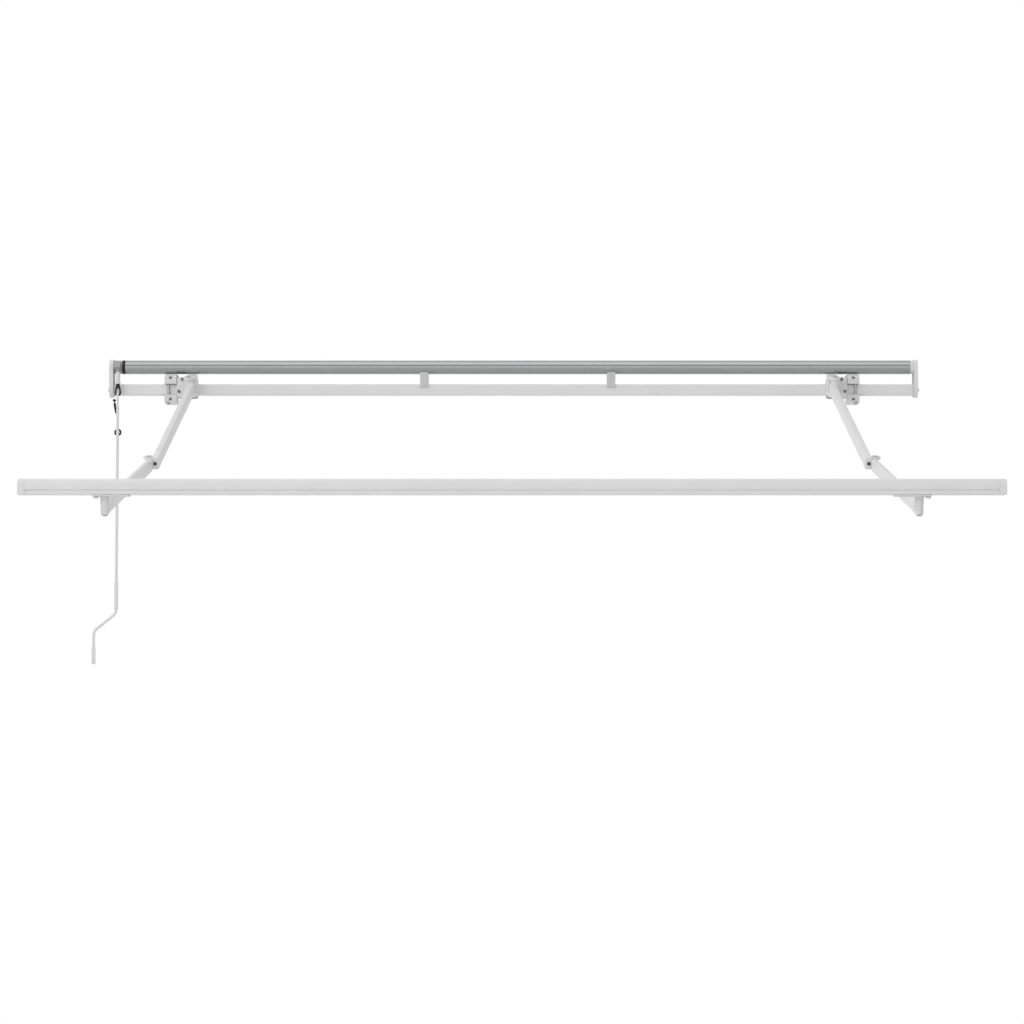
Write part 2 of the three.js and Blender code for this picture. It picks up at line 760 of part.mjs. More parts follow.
function shoulderScrew({ side, up, reach }) {
  const head = rodFront(shoulderScrewRadius, saddleFront + gap, saddleFront + gap + shoulderScrewHead, 14);
  const shank = rodFront(shoulderScrewShank, reach, saddleFront + gap + shoulderScrewHead / 2, 12);
  return geometryOf(join(head, shank)).translate(side, 0, up);
}

function shoulderBackPlate() {
  const outline = roundedRectangle(saddleInner + saddleOuter, saddleTop + saddleBottom, saddleCorner);
  const plate = alongFront(outline, barBack - gap - backPlate, barBack - gap, cornerDetail)
    .translate((saddleInner - saddleOuter) / 2, 0, (saddleTop - saddleBottom) / 2);
  const bore = rodFront(shoulderScrewShank + gap, barBack - 2 * backPlate, barBack)
    .translate(-upperScrewSide, 0, upperScrewUp);
  return geometryOf(cut(solid(plate), bore));
}

// A pin with a low round head at each end, about its own axis
function headedPin(radius, half) {
  return turned([
    [0, -half - pinHeadHeight],
    [pinHeadFlat, -half - pinHeadHeight],
    [pinHeadRadius, -half - pinHeadHeight / 2],
    [pinHeadRadius, -half],
    [radius, -half],
    [radius, half],
    [pinHeadRadius, half],
    [pinHeadRadius, half + pinHeadHeight / 2],
    [pinHeadFlat, half + pinHeadHeight],
    [0, half + pinHeadHeight],
  ]);
}

// Arm castings and tubes. Each arm's own frame has its pivot at the origin and runs towards -Y;
// the upper arm falls by the sag to the elbow and the forearm rises by it to the tip.
const upperSection = roundedRectangle(upperWidth, upperHeight, armCorner);
const foreSection = roundedRectangle(foreWidth, foreHeight, armCorner);
const plugSection = (width, height) =>
  roundedRectangle(width - 2 * armWall - 2 * gap, height - 2 * armWall - 2 * gap, armCorner - armWall);
const onUpper = (geometry) => geometry.rotateX(armSlope).translate(upperShift, 0, 0);
const onFore = (geometry) => geometry.rotateX(-armSlope).translate(foreShift, 0, -foreDrop);

function armRoot() {
  const knuckle = rodZ(knuckleRadius, -knuckleHalf, knuckleHalf, 24);
  const neckOutline = wrappedCircles(
    0, 0, knuckleNeck, upperShift, -rootLength + rootBlock / 2, upperWidth / 2 - past,
  );
  const neck = alongZ(neckOutline, -rootHalf, rootHalf, arcDetail);
  const block = onUpper(alongFront(upperSection, rootLength - rootBlock, rootLength, cornerDetail));
  const plug = onUpper(alongFront(
    plugSection(upperWidth, upperHeight), rootLength - past, rootLength + plugInArm, cornerDetail,
  ));
  const pinBore = rodZ(shoulderPinRadius + runningGap, -knuckleHalf - past, knuckleHalf + past);
  return geometryOf(cut(join(knuckle, neck, block, plug), pinBore));
}

function upperTube() {
  const section = tubeSection(upperWidth, upperHeight, armCorner, armWall);
  return onUpper(alongFront(section, rootLength + gap, armSpan - forkLength - gap, cornerDetail));
}

function armSpring() {
  const from = rootLength + plugInArm + gap;
  const coil = springLength / springCoils;
  const outside = Array.from({ length: springCoils }, (unused, i) => [
    [springRadius - springRib, from + i * coil],
    [springRadius, from + (i + 0.5) * coil],
  ]).flat();
  const end = [springRadius - springRib, from + springLength];
  const bore = [[springBore, from + springLength], [springBore, from]];
  const profile = [[springBore, from], ...outside, end, ...bore];
  return onUpper(turned(profile, 8).rotateX(Math.PI / 2));
}

// The cable runs from the spring through the elbow casting and shows as a black bush in its end face
function armCable() {
  const from = rootLength + plugInArm + gap + springLength + gap;
  const to = armSpan + forkNose;
  const cable = rodFront(cableRadius, from, to, 10);
  const bush = rodFront(cableBushRadius, to + gap, to + gap + cableBushLength, 16);
  const link = rodFront(cableRadius, to - past, to + gap + past, 10);
  const anchor = rodFront(springRadius, from, from + cableAnchor, 12);
  return onUpper(geometryOf(join(cable, bush, link, anchor)));
}

function elbowFork() {
  const block = onUpper(alongFront(upperSection, armSpan - forkLength, armSpan + forkNose, cornerDetail));
  const plug = onUpper(alongFront(
    plugSection(upperWidth, upperHeight),
    armSpan - forkLength - plugInArm, armSpan - forkLength + past, cornerDetail,
  ));
  const earOutline = wrappedCircles(0, 0, earRadius, elbowSide + upperWidth / 2 - earNeck, 0, earNeck);
  const atElbow = (geometry) => geometry.translate(-elbowShift, -armLength, -armSag);
  const ears = atElbow(alongZ(earOutline, -earHalf, earHalf, arcDetail));
  const tongueSpace = tongueHalf + runningGap;
  const slotSide = tongueRadius + runningGap;
  const slot = atElbow(box(
    -armLength, slotSide, -armLength, elbowReach + slotSide, -tongueSpace, tongueSpace,
  ));
  const pinBore = atElbow(rodZ(elbowPinRadius + gap, -earHalf - past, earHalf + past));
  const cableBore = onUpper(rodFront(
    cableRadius + gap, armSpan - forkLength - plugInArm - past, armSpan + forkNose + past, 12,
  ));
  return geometryOf(cut(join(block, plug, ears), slot, pinBore, cableBore));
}

function elbowTongue() {
  const barrel = rodZ(tongueRadius, -tongueHalf, tongueHalf, 24);
  const neck = box(
    foreShift - foreWidth / 2, tongueRadius, -elbowReach - tongueRadius, 0, -tongueHalf, tongueHalf,
  );
  const block = onFore(alongFront(foreSection, elbowReach, tongueLength, cornerDetail));
  const plug = onFore(alongFront(
    plugSection(foreWidth, foreHeight), tongueLength - past, tongueLength + plugInArm, cornerDetail,
  ));
  const pinBore = rodZ(elbowPinRadius + runningGap, -tongueHalf - past, tongueHalf + past);
  return geometryOf(cut(join(barrel, neck, block, plug), pinBore));
}

function foreTube() {
  const section = tubeSection(foreWidth, foreHeight, armCorner, armWall);
  return onFore(alongFront(section, tongueLength + gap, armSpan - tipLength - gap, cornerDetail));
}

function tipKnuckle() {
  const atTip = (geometry) => geometry.translate(elbowShift, -armLength, armSag);
  const knuckle = atTip(rodZ(tipRadius, -tipHalf, tipTop, 24));
  const block = onFore(alongFront(foreSection, armSpan - tipLength, armSpan - tipReach, cornerDetail));
  const plug = onFore(alongFront(
    plugSection(foreWidth, foreHeight),
    armSpan - tipLength - plugInArm, armSpan - tipLength + past, cornerDetail,
  ));
  const neckOutline = wrappedCircles(
    0, 0, tipNeck, foreShift - elbowShift, tipNeckReach, foreWidth / 2 - past,
  );
  const neck = atTip(alongZ(neckOutline, -tipHalf, foreHeight / 2 - foreDrop, arcDetail));
  const pinBore = atTip(rodZ(tipPinRadius + runningGap, -tipHalf - past, tipTop + past));
  return geometryOf(cut(join(knuckle, neck, block, plug), pinBore));
}

// Front bar: a hollow section with a rounded top, a stepped band and a lip, grooved above and below for cords
function frontOutline(stepped) {
  const front = -frontDepth / 2;
  const back = frontDepth / 2;
  const top = frontHeight / 2;
  const bottom = -frontHeight / 2;
  const bandLow = bottom + frontLip;
  const bandHigh = bandLow + frontGroove;
  const edge = frontEdge;
  const shape = new THREE.Shape();
  shape.moveTo(back, bottom + edge);
  shape.lineTo(back, top - edge);
  shape.absarc(back - edge, top - edge, edge, 0, Math.PI / 2);
  shape.lineTo(front + frontRound, top);
  shape.absarc(front + frontRound, top - frontRound, frontRound, Math.PI / 2, Math.PI);
  shape.lineTo(front, bandHigh);
  if (stepped) {
    shape.lineTo(front + frontStep, bandHigh - frontStep / 2);
    shape.lineTo(front + frontStep, bandLow + edge / 2);
    shape.lineTo(front + edge / 2, bandLow);
  }
  shape.lineTo(front + edge / 2, bottom + edge);
  shape.absarc(front + 1.5 * edge, bottom + edge, edge, Math.PI, 1.5 * Math.PI);
  shape.lineTo(back - edge, bottom);
  shape.absarc(back - edge, bottom + edge, edge, 1.5 * Math.PI, 2 * Math.PI);
  return shape;
}

const hollowWidth = frontDepth - frontStep - 2 * frontWall;
const channelReach = 2 * (frontKederRadius + frontWall);
const hollowAt = (geometry) => geometry.translate(0, frontStep / 2, 0);

function frontBar() {
  const half = frontWidth / 2 - frontCap - gap;
  const channelHeight = frontHeight / 2 - frontKederRadius - frontWall;
  const channel = (up, wall, reach) => join(
    rodX(frontKederRadius + wall, -reach, reach, 16).translate(0, 0, up * channelHeight),
    box(
      -reach, reach,
      -frontKederMouth / 2 - wall, frontKederMouth / 2 + wall,
      -frontHeight / 4, frontHeight / 4,
    ).translate(0, 0, up * (channelHeight + frontHeight / 4)),
  );
  const insideCorner = frontRound - frontStep - frontWall;
  const inside = roundedRectangle(hollowWidth, frontHeight - 2 * frontWall, insideCorner);
  const hollow = [1, -1].reduce(
    (rest, up) => rest.subtract(channel(up, frontWall, half + 2 * past)),
    solid(hollowAt(alongX(inside, -half - past, half + past, arcDetail))),
  );
  const shell = solid(alongX(frontOutline(true), -half, half, arcDetail)).subtract(hollow);
  return geometryOf([1, -1].reduce((rest, up) => rest.subtract(channel(up, 0, half + past)), shell));
}

function frontEndCap() {
  const cover = alongX(frontOutline(false), 0, frontCap, arcDetail);
  const side = hollowAt(alongX(
    roundedRectangle(hollowWidth - 2 * gap, frontHeight - 2 * channelReach - 2 * gap, frontWall),
    frontCap - past, frontCap + frontCapPlug, cornerDetail,
  ));
  return geometryOf(join(cover, side));
}

// Foot: a plate under the bar with a boss on the tip's slanted axis
function frontFoot() {
  const top = frontUnder - gap;
  const outline = roundedRectangle(footLength, footDepth, footCorner);
  const plate = alongZ(outline, top - footThick, top, cornerDetail).translate(footShift, -frontAhead, 0);
  const boss = rodZ(footBossRadius, tipTop + runningGap, tipTop + frontRise, 24).rotateX(pitch);
  const above = box(-footLength, footLength, -footLength, footLength, top, top + 2 * frontRise);
  const pinBore = rodZ(tipPinRadius + gap, 0, tipTop + runningGap + tipPinGrip + gap, 14).rotateX(pitch);
  const screwBore = rodZ(footScrewShank + gap, top - footThick - past, top + past, 12)
    .translate(-footScrewSide, -frontAhead, 0);
  return geometryOf(cut(cut(solid(boss), above).add(solid(plate)), pinBore, screwBore));
}

function tipPin() {
  const nut = rodZ(tipNutRadius, -tipHalf - gap - tipNutHeight, -tipHalf - gap, 6);
  const shank = rodZ(tipPinRadius, -tipHalf - gap - past, tipTop + runningGap + tipPinGrip, 14);
  return geometryOf(join(nut, shank)).rotateX(pitch);
}

function footScrew() {
  const under = frontUnder - gap - footThick - gap;
  const head = rodZ(footScrewRadius, under - footScrewHead, under, 6);
  const shank = rodZ(footScrewShank, under - past, under + gap + footThick, 12);
  return geometryOf(join(head, shank)).translate(-footScrewSide, -frontAhead, 0);
}

const front = groupAt(awning, 0, -tipOut - frontAhead, tipUp + frontRise);
place(front, "front_bar", frontBar(), whiteCoat);

// The two halves are alike: the left one as drawn, the right one mirrored
for (const [side, mirror] of [["left", 1], ["right", -1]]) {
  const half = groupAt(awning, 0, 0, 0);
  half.scale.x = mirror;

  const bracket = groupAt(half, -bracketOffset, 0, 0);
  place(bracket, `${side}_wall_bracket`, wallBracket(), castWhite);
  place(bracket, `${side}_clamp_bolt`, clampBolt(), zinc);

  const shoulder = groupAt(half, -pivotOffset, 0, 0);
  place(shoulder, `${side}_shoulder`, shoulderBody(), castWhite);
  place(shoulder, `${side}_shoulder_back_plate`, shoulderBackPlate(), zinc);
  for (const screw of shoulderScrews) {
    place(shoulder, `${side}_${screw.name}_shoulder_screw`, shoulderScrew(screw), blackPlastic);
  }

  const upper = groupAt(half, -pivotOffset, -shoulderOut, shoulderUp);
  upper.rotation.x = pitch;
  const shoulderPin = headedPin(shoulderPinRadius, cheekTop + gap);
  place(upper, `${side}_shoulder_pin`, shoulderPin, zinc);
  place(upper, `${side}_arm_root`, armRoot(), castWhite);
  place(upper, `${side}_upper_arm`, upperTube(), whiteCoat);
  place(upper, `${side}_arm_spring`, armSpring(), zinc);
  place(upper, `${side}_arm_cable`, armCable(), blackPlastic);
  place(upper, `${side}_elbow_fork`, elbowFork(), castWhite);

  const fore = groupAt(upper, -elbowShift, -armLength, -armSag);
  const elbowPin = headedPin(elbowPinRadius, earHalf + gap);
  place(fore, `${side}_elbow_pin`, elbowPin, zinc);
  place(fore, `${side}_elbow_tongue`, elbowTongue(), castWhite);
  place(fore, `${side}_forearm`, foreTube(), whiteCoat);
  place(fore, `${side}_tip_knuckle`, tipKnuckle(), castWhite);

  const tip = groupAt(half, -pivotOffset, -tipOut, tipUp);
  place(tip, `${side}_front_foot`, frontFoot(), castWhite);
  place(tip, `${side}_tip_pin`, tipPin(), zinc);
  place(tip, `${side}_foot_screw`, footScrew(), zinc);

  const end = groupAt(half, -frontWidth / 2, -tipOut - frontAhead, tipUp + frontRise);
  place(end, `${side}_front_cap`, frontEndCap(), whiteCoat);
}

export default awning;
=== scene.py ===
"""Looks of a folding-arm awning frame, shown let out, without its cloth."""

import json
import math

import bmesh
import bpy
import numpy as np
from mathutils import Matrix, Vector

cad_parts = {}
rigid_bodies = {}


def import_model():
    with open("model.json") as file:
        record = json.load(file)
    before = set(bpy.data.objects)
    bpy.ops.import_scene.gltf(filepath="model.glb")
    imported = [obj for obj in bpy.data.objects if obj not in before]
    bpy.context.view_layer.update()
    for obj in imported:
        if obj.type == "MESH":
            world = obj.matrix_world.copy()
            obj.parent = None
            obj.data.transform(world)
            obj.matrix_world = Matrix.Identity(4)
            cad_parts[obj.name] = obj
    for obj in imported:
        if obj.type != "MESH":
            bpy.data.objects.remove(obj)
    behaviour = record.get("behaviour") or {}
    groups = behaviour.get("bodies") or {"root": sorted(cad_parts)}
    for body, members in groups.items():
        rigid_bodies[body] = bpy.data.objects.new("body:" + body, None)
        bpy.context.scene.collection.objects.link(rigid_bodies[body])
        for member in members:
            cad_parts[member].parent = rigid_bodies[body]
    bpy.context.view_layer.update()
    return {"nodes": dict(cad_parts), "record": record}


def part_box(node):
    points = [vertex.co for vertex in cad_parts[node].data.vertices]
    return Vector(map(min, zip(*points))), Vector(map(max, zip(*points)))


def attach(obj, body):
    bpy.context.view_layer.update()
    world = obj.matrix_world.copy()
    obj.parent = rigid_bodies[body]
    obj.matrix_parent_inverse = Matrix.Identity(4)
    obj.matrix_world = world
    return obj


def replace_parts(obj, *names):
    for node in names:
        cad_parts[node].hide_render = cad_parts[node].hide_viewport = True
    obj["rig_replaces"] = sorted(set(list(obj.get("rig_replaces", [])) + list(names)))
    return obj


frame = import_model()
record = frame["record"]
slot_of = {row["node"]: row["material_slot"] for row in record["subparts"]}
body_of = {name: body for body, names in record["behaviour"]["bodies"].items() for name in names}

# Camera: a little below the handle's end, looking slightly up at the frame
CAMERA_PLACE = (0.0, -10.834, -1.1435)
CAMERA_TILT = math.radians(3.674)
CAMERA_LENS = 103.08
CAMERA_REACH = 100
SENSOR_WIDTH = 36.0

# Floor: its level, the place of its middle in front of the wall, and where its fading starts and ends
FLOOR_HEIGHT = -2.4
FLOOR_CENTRE = -4.2
FLOOR_FADE = 2.4
FLOOR_RADIUS = 4.4
FLOOR_SIDES = 96

# Surround: its light straight below, straight above, by share of the height between, and to each side
SURROUND_BELOW = 0.5
SURROUND_ABOVE = 0.6
SURROUND_LIGHT = {0.07: 0.5, 0.33: 0.64, 0.5: 0.78, 0.82: 1.0}
SURROUND_LEFT = 1.2
SURROUND_RIGHT = 0.8

# Studio lights: their powers are in watts, and the two low ones shine straight up
KEY_PLACE = (-5.5, -6.5, 4.5)
KEY_AIM = (0, -1, 0)
KEY_SIDE = 4.0
KEY_POWER = 110
SHEEN_PLACE = (0, -2.05, 4.67)
SHEEN_AIM = (0, -0.05, 0.08)
SHEEN_SIDE = 4.5
SHEEN_POWER = 24
BOUNCE_HEIGHT = -2.3
FLOOR_BOUNCE_PLACE = -3.5
FLOOR_BOUNCE_SIDE = 4.0
FLOOR_BOUNCE_POWER = 20
WALL_BOUNCE_PLACE = 1.0
WALL_BOUNCE_SIDE = 2.0
WALL_BOUNCE_POWER = 30

# Range that most of a noise keeps to
NOISE_LOW = 0.3
NOISE_HIGH = 0.7

# Edges of the castings and profiles, finer on a piece that turns in a close hole
EDGE_ROUND = 0.0007
EDGE_SEGMENTS = 2
TURNING_EDGE = 0.0002
TURNING_PIECES = {"roller_drive_plug"}
CAP_ROUND = 0.005
CAP_SEGMENTS = 5
CAP_SIDE = {"left_front_cap": -1, "right_front_cap": 1}
SOFT_ANGLE = math.radians(34)
EDGE_ANGLE = math.radians(42)
FLAT_ANGLE = math.radians(0.5)
MERGE_DISTANCE = 2e-6

# Clearances between pieces that lie still and between pieces that turn
GAP = 0.0003
RUNNING_GAP = 0.0005

# Crank rod: its radius, the reach of its bends, and the height of the lower bend above its end
ROD_RADIUS = 0.0054
BEND_RADIUS = 0.014
HANDLE_LENGTH = 0.116

# Hook: its thickness, the height of the eye's wire above the rod, its bow, its socket and its tip's place
HOOK_WIRE = 0.0076
HOOK_LEG = 0.044
HOOK_BOW = 0.026
HOOK_SOCKET = 0.011
HOOK_TIP_SIDE = 0.006
HOOK_TIP_DROP = 0.009
HOOK_TIP_BACK = 0.0068

# Eye: the thickness of its wire, and its shaft
EYE_WIRE = 0.0066
EYE_SHAFT_RADIUS = 0.0046
EYE_SHAFT_DEPTH = 0.018
EYE_SHAFT_LIP = EYE_SHAFT_RADIUS / 4

# Latch: half its ball's height, the radii of its ball, neck, blade and tip, and the places of its ends
LATCH_HEAD = 0.005
LATCH_KNOB = 0.0064
LATCH_NECK = 0.0015
LATCH_NECK_LENGTH = 0.003
LATCH_BLADE = 0.0047
LATCH_TIP = 0.0012
LATCH_SIDE = 0.0135
LATCH_FOOT = 0.025
LATCH_STEPS = 60
LATCH_AVERAGED = 7

# Clip on the rod: the radius of its ring's wire, and the thickness of its bridge
CLIP_WIRE_RADIUS = 0.0032
CLIP_BRIDGE = 0.004
CLIP_STEPS = 72
CLIP_SIDES = 24

# Grips: the rounding of their rims, and the height of the lower one's domed end
GRIP_LIP = 0.0012
GRIP_CAP = 0.005
LIP_STEPS = 6
DOME_STEPS = 10

# Share of the radius by which a cubic curve's handles make a quarter circle
QUARTER_PULL = 0.5523

# Height up to which the gear's neck is enamelled, and half the width of the coat's edge
NECK_COAT = 0.062
NECK_EDGE = 0.0012

# Springs in the upper arms: the wire's radius, the rise of a turn, and the points in a turn
SPRING_WIRE_RADIUS = 0.0011
SPRING_PITCH = 0.0062
SPRING_STEPS = 14


def new_material(name):
    """A node material, with its tree, its shader and its Object coordinates."""
    material = bpy.data.materials.new(name)
    material.use_nodes = True
    tree = material.node_tree
    shader = tree.nodes["Principled BSDF"]
    place = tree.nodes.new("ShaderNodeTexCoord").outputs["Object"]
    return material, tree, shader, place


def feed(tree, made, inputs):
    """Fills a node's inputs: a socket is linked, and a plain value is set on the input itself."""
    for key, value in inputs.items():
        if isinstance(value, bpy.types.NodeSocket):
            tree.links.new(value, made.inputs[key])
        else:
            made.inputs[key].default_value = value


def node(tree, kind, inputs=(), **settings):
    """A shader node with its settings and its inputs."""
    made = tree.nodes.new(kind)
    for key, value in settings.items():
        setattr(made, key, value)
    feed(tree, made, dict(inputs))
    return made


def noise(tree, place, scale, detail, stretch=(1, 1, 1)):
    """Noise of a given number of cells in a metre, drawn out along an axis where stretch is below one."""
    mapped = node(tree, "ShaderNodeMapping", {"Vector": place, "Scale": stretch}).outputs["Vector"]
    cells = {"Vector": mapped, "Scale": scale, "Detail": detail}
    return node(tree, "ShaderNodeTexNoise", cells).outputs["Fac"]


def tint(tree, factor, low, high):
    """A colour that runs from low to high over the range that most of a noise keeps to."""
    ramp = node(tree, "ShaderNodeValToRGB", {"Fac": factor})
    ramp.color_ramp.elements[0].position = NOISE_LOW
    ramp.color_ramp.elements[1].position = NOISE_HIGH
    ramp.color_ramp.elements[0].color = (*low, 1)
    ramp.color_ramp.elements[1].color = (*high, 1)
    return ramp.outputs["Color"]


def spread(tree, factor, low, high, start=0.0, end=1.0):
    """A number that runs from low to high as the factor goes from start to end."""
    limits = {"Value": factor, "From Min": start, "From Max": end, "To Min": low, "To Max": high}
    return node(tree, "ShaderNodeMapRange", limits).outputs["Result"]


def mix(tree, factor, first, second, **settings):
    """The first of two numbers or colours, mixed with the second by a factor."""
    parts = {"Factor": factor, "A": first, "B": second}
    return node(tree, "ShaderNodeMix", parts, **settings).outputs["Result"]


def bump(tree, height, strength, depth):
    """A normal from a height map of the given depth in metres."""
    relief = {"Height": height, "Strength": strength, "Distance": depth}
    return node(tree, "ShaderNodeBump", relief).outputs["Normal"]


def grey(value, blue=0.0):
    """A neutral colour, a little bluer where blue is above nought."""
    return (value, value * (1 + blue / 2), value * (1 + blue))


def powder_coat(name, value, peel, roughness):
    """White stove enamel: an even coat with an orange-peel skin and faint patches of duller film."""
    material, tree, shader, place = new_material(name)
    patches = noise(tree, place, scale=9, detail=4)
    film = noise(tree, place, scale=60, detail=3)
    skin = noise(tree, place, scale=peel, detail=2)
    feed(tree, shader, {
        "Base Color": tint(tree, patches, grey(value * 0.965), grey(value * 1.01, blue=0.004)),
        "Roughness": spread(tree, film, low=roughness - 0.06, high=roughness + 0.08),
        "Normal": bump(tree, skin, strength=0.22, depth=0.00012),
        "Specular IOR Level": 0.45,
        "Coat Weight": 0.12,
        "Coat Roughness": 0.25,
    })
    return material


def cast_coat(name, value):
    """Coated die casting: the same enamel over a slightly sandy skin, with soft blotches."""
    material, tree, shader, place = new_material(name)
    blotches = noise(tree, place, scale=38, detail=5)
    sand = noise(tree, place, scale=1500, detail=4)
    feed(tree, shader, {
        "Base Color": tint(tree, blotches, grey(value * 0.95), grey(value * 1.015)),
        "Roughness": spread(tree, blotches, low=0.42, high=0.58),
        "Normal": bump(tree, sand, strength=0.3, depth=0.00015),
        "Specular IOR Level": 0.42,
    })
    return material


def galvanised_tube(name):
    """Galvanised strip rolled into a tube: fine lines along its length, clouded with pale spangle."""
    material, tree, shader, place = new_material(name)
    drawn = noise(tree, place, scale=420, detail=4, stretch=(0.012, 1, 1))
    spangle = node(tree, "ShaderNodeTexVoronoi", {"Vector": place, "Scale": 130.0}).outputs["Color"]
    cells = node(tree, "ShaderNodeSeparateColor", {"Color": spangle}).outputs["Red"]
    blend = mix(tree, 0.15, drawn, cells, data_type="FLOAT")
    feed(tree, shader, {
        "Base Color": tint(tree, blend, grey(0.46, blue=0.02), grey(0.54, blue=0.015)),
        "Roughness": spread(tree, blend, low=0.16, high=0.3),
        "Normal": bump(tree, drawn, strength=0.08, depth=0.0001),
        "Metallic": 0.92,
    })
    return material


def zinc_plate(name, dull, bright, metallic):
    """Zinc on steel fasteners, clouded and finely scratched."""
    material, tree, shader, place = new_material(name)
    cloud = noise(tree, place, scale=240, detail=4)
    scratches = noise(tree, place, scale=900, detail=3)
    feed(tree, shader, {
        "Base Color": tint(tree, cloud, grey(dull), grey(bright)),
        "Roughness": spread(tree, scratches, low=0.24, high=0.46),
        "Normal": bump(tree, cloud, strength=0.15, depth=0.0001),
        "Metallic": metallic,
    })
    return material


def gear_casting(name):
    """Die casting of the gear housing: matt grey with a sandy grain, its lower neck enamelled white."""
    material, tree, shader, place = new_material(name)
    grain = noise(tree, place, scale=1100, detail=5)
    patches = noise(tree, place, scale=70, detail=4)
    bare = tint(tree, patches, grey(0.34), grey(0.42, blue=0.01))
    white = tint(tree, patches, grey(0.68), grey(0.72))
    height = node(tree, "ShaderNodeSeparateXYZ", {"Vector": place}).outputs["Z"]
    coated = spread(
        tree, height, low=0.0, high=1.0, start=NECK_COAT + NECK_EDGE, end=NECK_COAT - NECK_EDGE,
    )
    feed(tree, shader, {
        "Base Color": mix(tree, coated, bare, white, data_type="RGBA"),
        "Metallic": spread(tree, coated, low=0.4, high=0.0),
        "Roughness": spread(tree, grain, low=0.42, high=0.62),
        "Normal": bump(tree, grain, strength=0.35, depth=0.00018),
    })
    return material


def dark_finish(name, value, roughness, grain_scale, metallic, gloss):
    """Black plastic or blackened steel: near black, with a fine grain that breaks up its sheen."""
    material, tree, shader, place = new_material(name)
    cloud = noise(tree, place, scale=160, detail=3)
    grain = noise(tree, place, scale=grain_scale, detail=3)
    feed(tree, shader, {
        "Base Color": tint(tree, cloud, grey(value * 0.8), grey(value * 1.25)),
        "Roughness": spread(tree, grain, low=roughness - 0.08, high=roughness + 0.1),
        "Normal": bump(tree, grain, strength=0.25, depth=0.00008),
        "Metallic": metallic,
        "Specular IOR Level": gloss,
    })
    return material


def moulded_white(name):
    """White moulded plastic of the grips and end caps: smooth, with a faint flow of lighter resin."""
    material, tree, shader, place = new_material(name)
    flow = noise(tree, place, scale=55, detail=4, stretch=(1, 1, 0.3))
    film = noise(tree, place, scale=500, detail=3)
    skin = noise(tree, place, scale=1300, detail=2)
    feed(tree, shader, {
        "Base Color": tint(tree, flow, grey(0.72), grey(0.765)),
        "Roughness": spread(tree, film, low=0.3, high=0.42),
        "Normal": bump(tree, skin, strength=0.12, depth=0.00008),
    })
    return material


finish_of = {
    "white_steel": powder_coat("white_coat_on_steel", value=0.745, peel=620, roughness=0.36),
    "white_aluminium": powder_coat("white_coat_on_profile", value=0.755, peel=760, roughness=0.38),
    "white_casting": cast_coat("white_coat_on_casting", value=0.755),
    "white_plastic": moulded_white("white_moulding"),
    "galvanised": galvanised_tube("galvanised_strip"),
    "zinc": zinc_plate("bright_zinc", dull=0.42, bright=0.6, metallic=0.95),
    "grey_casting": gear_casting("gear_casting"),
    "black_steel": dark_finish(
        "blackened_steel", value=0.15, roughness=0.42, grain_scale=900, metallic=0.4, gloss=0.5,
    ),
    "black_plastic": dark_finish(
        "black_moulding", value=0.015, roughness=0.48, grain_scale=1400, metallic=0.0, gloss=0.32,
    ),
}
# Painted shade: the arms wear the same white coat as the front bar, and a darker colour stands in for the
# shade that falls on them.
arm_coat_with_painted_shade = powder_coat("white_coat_with_painted_shade_on_arms", value=0.71, peel=760, roughness=0.38)
# Painted shade: the feet, tip knuckles and wall brackets wear the same white coat as the other castings,
# and a darker colour stands in for the shade on them.
shaded_casting_coat = cast_coat("casting_coat_darkened_as_painted_shade", value=0.7)
finish_of_pair = {
    "upper_arm": arm_coat_with_painted_shade,
    "forearm": arm_coat_with_painted_shade,
    "tip_knuckle": shaded_casting_coat,
    "front_foot": shaded_casting_coat,
    "wall_bracket": shaded_casting_coat,
    # Painted shade: the roller supports sit in shade under the roller, and their white coat is painted a
    # darker grey for it.
    "roller_support": cast_coat("support_coat_darkened_as_painted_shade", value=0.565),
    "foot_screw": zinc_plate("pale_zinc", dull=0.74, bright=0.82, metallic=0.3),
    "end_screw": finish_of["black_plastic"],
}
finish_of_node = {
    f"{side}_{piece}": finish for piece, finish in finish_of_pair.items() for side in ("left", "right")
}


def fit_piece(piece, *nodes):
    """Gives a piece the finish and body of the nodes that it stands for."""
    first = nodes[0]
    piece.data.materials.clear()
    piece.data.materials.append(finish_of_node.get(first, finish_of[slot_of[first]]))
    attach(piece, body_of[first])
    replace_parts(piece, *nodes)


def link_mesh(name, mesh):
    """An object at the origin that shows a mesh, smooth except at its sharp edges."""
    mesh.shade_smooth()
    mesh.set_sharp_from_angle(angle=SOFT_ANGLE)
    piece = bpy.data.objects.new(name, mesh)
    bpy.context.scene.collection.objects.link(piece)
    return piece


def mesh_points(mesh):
    """The points of a mesh, as rows of three."""
    points = np.empty(len(mesh.vertices) * 3, np.float32)
    mesh.vertices.foreach_get("co", points)
    return points.reshape(-1, 3).astype(float)


def round_outer_face(piece, side):
    """Rounds the rim of a cap's outer face, the one that lies furthest to its side."""
    mesh = piece.data
    outwards = mesh_points(mesh)[:, 0] * side
    ends = np.empty(len(mesh.edges) * 2, dtype=int)
    mesh.edges.foreach_get("vertices", ends)
    on_rim = outwards[ends.reshape(-1, 2)].min(1) > outwards.max() - MERGE_DISTANCE
    weights = mesh.attributes.new("bevel_weight_edge", "FLOAT", "EDGE")
    weights.data.foreach_set("value", on_rim.astype(float))
    rim = piece.modifiers.new("rounded_rim", "BEVEL")
    rim.width = CAP_ROUND
    rim.segments = CAP_SEGMENTS
    rim.limit_method = "WEIGHT"
    rim.use_clamp_overlap = True


